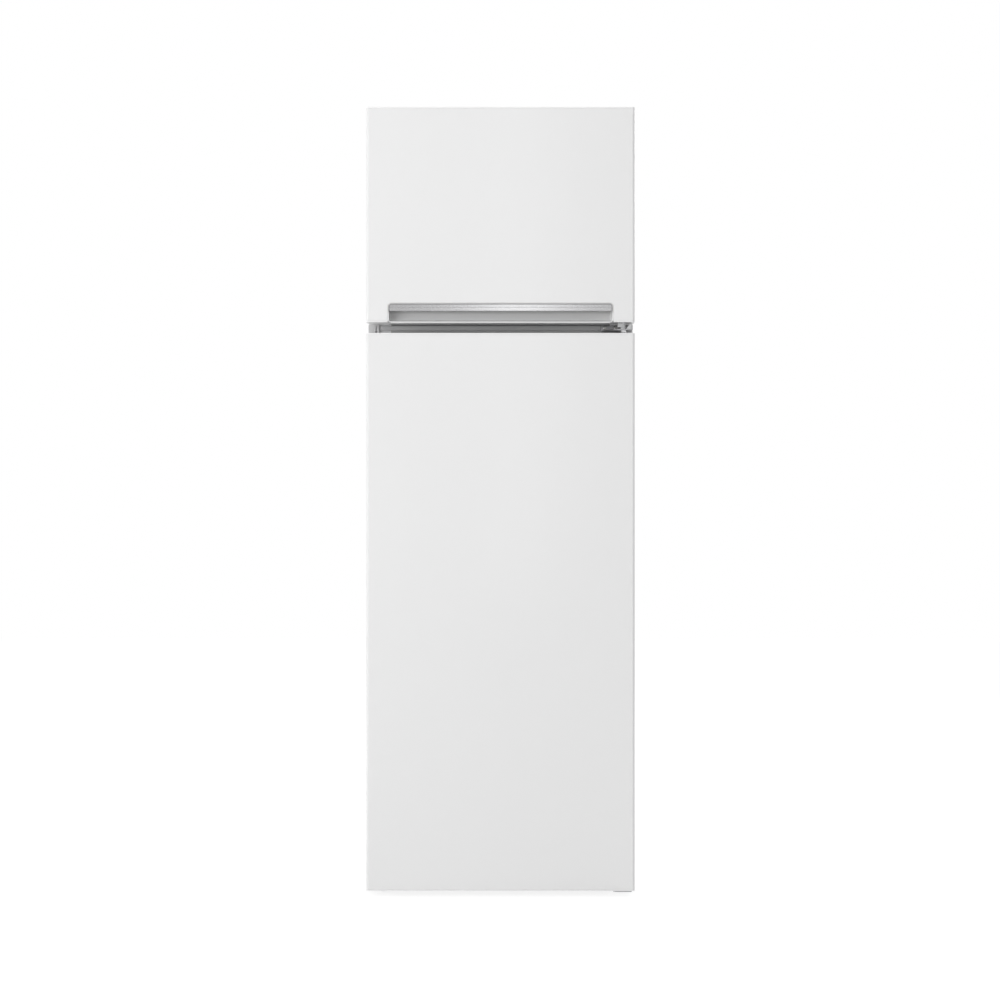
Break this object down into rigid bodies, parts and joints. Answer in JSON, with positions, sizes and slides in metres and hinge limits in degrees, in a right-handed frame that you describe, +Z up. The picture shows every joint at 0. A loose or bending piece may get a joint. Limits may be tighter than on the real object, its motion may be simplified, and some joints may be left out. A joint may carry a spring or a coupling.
{
  "type": "top freezer refrigerator",
  "caption": "Upright refrigerator with a freezer above, two right-hinged doors, door bins, glass shelves and crisper drawers.",
  "frame": {"origin": "on the floor under the middle of the case", "axes": "+Z up, the doors face -Y, the hinges are on the +X side"},
  "size_m": [0.595, 0.6, 1.752],
  "materials": {
    "door_paint": "satin",
    "case_paint": "satin",
    "zinc_steel": "satin",
    "foam": "matte",
    "liner_plastic": "gloss",
    "grey_plastic": "matte",
    "white_plastic": "satin",
    "black_steel": "satin",
    "black_plastic": "matte",
    "dark_rubber": "matte",
    "aluminium": "satin",
    "glass": "gloss",
    "bulb_glass": "gloss",
    "clear_plastic": "gloss",
    "gasket_rubber": "matte",
    "chrome": "polished"
  },
  "bodies": {
    "cabinet": {"outer_wrap": "case_paint", "crossbar": "case_paint", "back_panel": "zinc_steel", "floor_plate": "zinc_steel", "top_hinge": "zinc_steel", "middle_hinge": "zinc_steel", "bottom_hinge": "zinc_steel", "compressor_tray": "zinc_steel", "cabinet_foam": "foam", "fridge_liner": "liner_plastic", "freezer_liner": "liner_plastic", "crossbar_cap_left": "grey_plastic", "crossbar_cap_right": "grey_plastic", "top_hinge_cover": "white_plastic", "control_housing": "white_plastic", "base_frame": "black_steel", "compressor": "black_steel", "condenser_coil": "black_steel", "relay_cover": "black_plastic", "evaporation_tray": "black_plastic", "condenser_bracket_left": "black_plastic", "condenser_bracket_right": "black_plastic", "compressor_mount_1": "dark_rubber", "compressor_mount_2": "dark_rubber", "compressor_mount_3": "dark_rubber", "compressor_mount_4": "dark_rubber", "freezer_evaporator": "aluminium", "cold_plate": "aluminium", "shelf_1": "glass", "shelf_2": "glass", "shelf_3": "glass", "crisper_cover": "glass", "freezer_shelf": "glass", "lamp_bulb": "bulb_glass"},
    "freezer_door": {"freezer_door_foam": "foam", "freezer_door_liner": "liner_plastic", "freezer_door_top_cap": "white_plastic", "freezer_door_bottom_cap": "white_plastic", "freezer_door_rack": "clear_plastic", "freezer_door_skin": "door_paint", "freezer_door_gasket": "gasket_rubber", "handle_scoop": "grey_plastic", "handle_bar": "chrome"},
    "fridge_door": {"fridge_door_foam": "foam", "fridge_door_liner": "liner_plastic", "fridge_door_top_cap": "white_plastic", "fridge_door_bottom_cap": "white_plastic", "fridge_door_skin": "door_paint", "fridge_door_gasket": "gasket_rubber", "bottle_bin": "clear_plastic", "door_bin_1": "clear_plastic", "door_bin_2": "clear_plastic"},
    "drawer_left": {"crisper_left": "clear_plastic"},
    "drawer_right": {"crisper_right": "clear_plastic"},
    "knob": {"thermostat_knob": "white_plastic"},
    "switch": {"lamp_switch": "white_plastic"},
    "left_foot": {"foot_left": "black_plastic"},
    "right_foot": {"foot_right": "black_plastic"},
    "left_roller": {"roller_left": "black_plastic"},
    "right_roller": {"roller_right": "black_plastic"}
  },
  "joints": [
    {"name": "freezer_hinge", "type": "hinge", "parent": "cabinet", "child": "freezer_door", "pos_m": [0.273, -0.276, 1.5], "axis": [0, 0, 1], "range_deg": [0, 115]},
    {"name": "fridge_hinge", "type": "hinge", "parent": "cabinet", "child": "fridge_door", "pos_m": [0.273, -0.276, 0.6], "axis": [0, 0, 1], "range_deg": [0, 115]},
    {"name": "drawer_left_slide", "type": "slide", "parent": "cabinet", "child": "drawer_left", "axis": [0, -1, 0], "range_m": [0, 0.165]},
    {"name": "drawer_right_slide", "type": "slide", "parent": "cabinet", "child": "drawer_right", "axis": [0, -1, 0], "range_m": [0, 0.165]},
    {"name": "switch_slide", "type": "slide", "parent": "cabinet", "child": "switch", "axis": [0, -1, 0], "range_m": [0, 0.006]},
    {"name": "knob_turn", "type": "hinge", "parent": "cabinet", "child": "knob", "pos_m": [-0.058, -0.19, 1.2027], "axis": [0, 1, 0], "range_deg": [0, 270]},
    {"name": "left_foot_turn", "type": "hinge", "parent": "cabinet", "child": "left_foot", "pos_m": [-0.263, -0.2, 0.02], "axis": [0, 0, 1], "continuous": true},
    {"name": "right_foot_turn", "type": "hinge", "parent": "cabinet", "child": "right_foot", "pos_m": [0.263, -0.2, 0.02], "axis": [0, 0, 1], "continuous": true},
    {"name": "left_roller_spin", "type": "hinge", "parent": "cabinet", "child": "left_roller", "pos_m": [-0.263, 0.235, 0.014], "axis": [1, 0, 0], "continuous": true},
    {"name": "right_roller_spin", "type": "hinge", "parent": "cabinet", "child": "right_roller", "pos_m": [0.263, 0.235, 0.014], "axis": [1, 0, 0], "continuous": true}
  ],
  "couplings": [
    {"joint": "drawer_left_slide", "follows": "fridge_hinge", "m_per_rad": 0.0822},
    {"joint": "drawer_right_slide", "follows": "fridge_hinge", "m_per_rad": 0.0822},
    {"joint": "switch_slide", "follows": "fridge_hinge", "m_per_rad": 0.00298}
  ]
}
